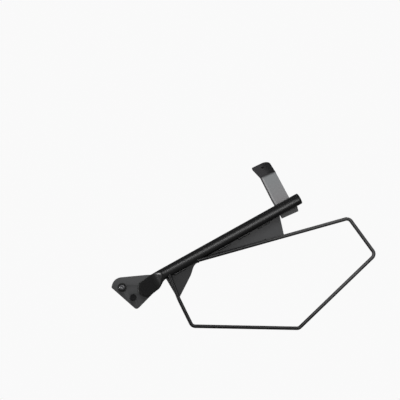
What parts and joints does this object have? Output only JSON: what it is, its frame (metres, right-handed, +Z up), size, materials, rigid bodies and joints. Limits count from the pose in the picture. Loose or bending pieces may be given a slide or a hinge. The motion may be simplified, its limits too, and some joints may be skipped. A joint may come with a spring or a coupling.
{
  "type": "pannier frame",
  "caption": "Side-bag frame for a motorbike: a tube with a crushed front end on a bolt plate, a sheet gusset, a bent rod loop that the bag leans on, and a folded strap to the tail.",
  "frame": {"origin": "middle of the two front bolts, on the face of the front plate that lies against the bike", "axes": "+X to the rear of the bike, +Y inward to the bike along the bolts, +Z up"},
  "size_m": [0.5812, 0.0716, 0.3736],
  "materials": {
    "black_coat": "satin black powder coat",
    "plate_coat": "fine matt black powder coat on sheet",
    "rod_coat": "satin black powder coat",
    "strap_coat": "grey to black satin coat",
    "weld_coat": "coated weld bead",
    "black_plastic": "moulded, fine grain",
    "bright_screw": "zinc plated",
    "black_bolt": "black oxide"
  },
  "bodies": {
    "root": {"main_tube": "black_coat", "tube_end_plug": "black_plastic", "front_plate": "plate_coat", "socket_screw": "bright_screw", "screw_washer": "black_plastic", "hex_bolt": "black_bolt", "gusset_plate": "plate_coat", "bag_rail": "rod_coat", "hanger_strap": "strap_coat", "weld_crushed_end": "weld_coat", "weld_gusset_outer": "weld_coat", "weld_gusset_inner": "weld_coat", "weld_strap_upper": "weld_coat", "weld_strap_lower": "weld_coat", "weld_front_leg": "weld_coat", "weld_top_run": "weld_coat", "tacks_front_leg": "weld_coat", "tacks_top_run": "weld_coat"}
  },
  "joints": []
}
